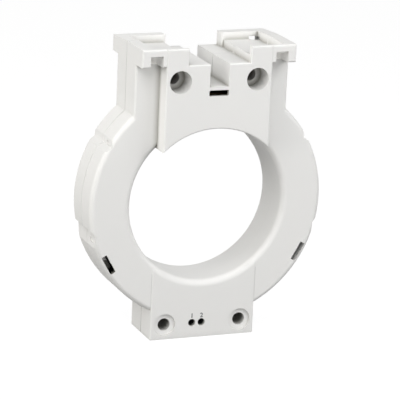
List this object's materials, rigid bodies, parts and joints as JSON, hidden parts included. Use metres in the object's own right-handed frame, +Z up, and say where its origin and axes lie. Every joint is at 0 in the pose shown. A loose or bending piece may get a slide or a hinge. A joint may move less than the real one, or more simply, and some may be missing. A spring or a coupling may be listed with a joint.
{
  "type": "toroid current transformer",
  "caption": "Closed residual-current toroid in a two-shell moulded housing with a round cable bore, fixing ears and a screw terminal foot.",
  "frame": {"origin": "on the axis of the cable bore, in the plane where the two half shells meet", "axes": "+X right as seen from the front, +Y from the front to the back along the bore, +Z up to the ears"},
  "size_m": [0.122, 0.044, 0.15],
  "materials": {
    "housing": "near-white moulded polymer with a fine satin texture",
    "magnetic_strip": "bare wound magnetic strip",
    "core_case": "black moulded polymer",
    "soft_foam": "dark closed-cell foam",
    "copper_wire": "enamelled copper wire laid side by side",
    "polyester_tape": "amber polyester tape",
    "circuit_board": "green laminate with a thin lacquer",
    "terminal_plastic": "dark grey moulded polymer",
    "plated_steel": "zinc-plated steel",
    "tinned_brass": "tinned brass strip",
    "lead_sleeve": "white insulation on a thin lead"
  },
  "bodies": {
    "root": {"front_shell": "housing", "back_shell": "housing", "core": "magnetic_strip", "core_cushion_front": "soft_foam", "core_cushion_back": "soft_foam", "core_case": "core_case", "core_case_lid": "core_case", "winding": "copper_wire", "winding_wrap": "polyester_tape", "ring_pad_front": "soft_foam", "ring_pad_back": "soft_foam", "connection_board": "circuit_board", "terminal_body": "terminal_plastic", "wire_clamp_1": "plated_steel", "wire_clamp_2": "plated_steel", "clamp_screw_1": "plated_steel", "clamp_screw_2": "plated_steel", "contact_pin_1": "tinned_brass", "contact_pin_2": "tinned_brass", "lead_1": "lead_sleeve", "lead_2": "lead_sleeve"}
  },
  "joints": []
}
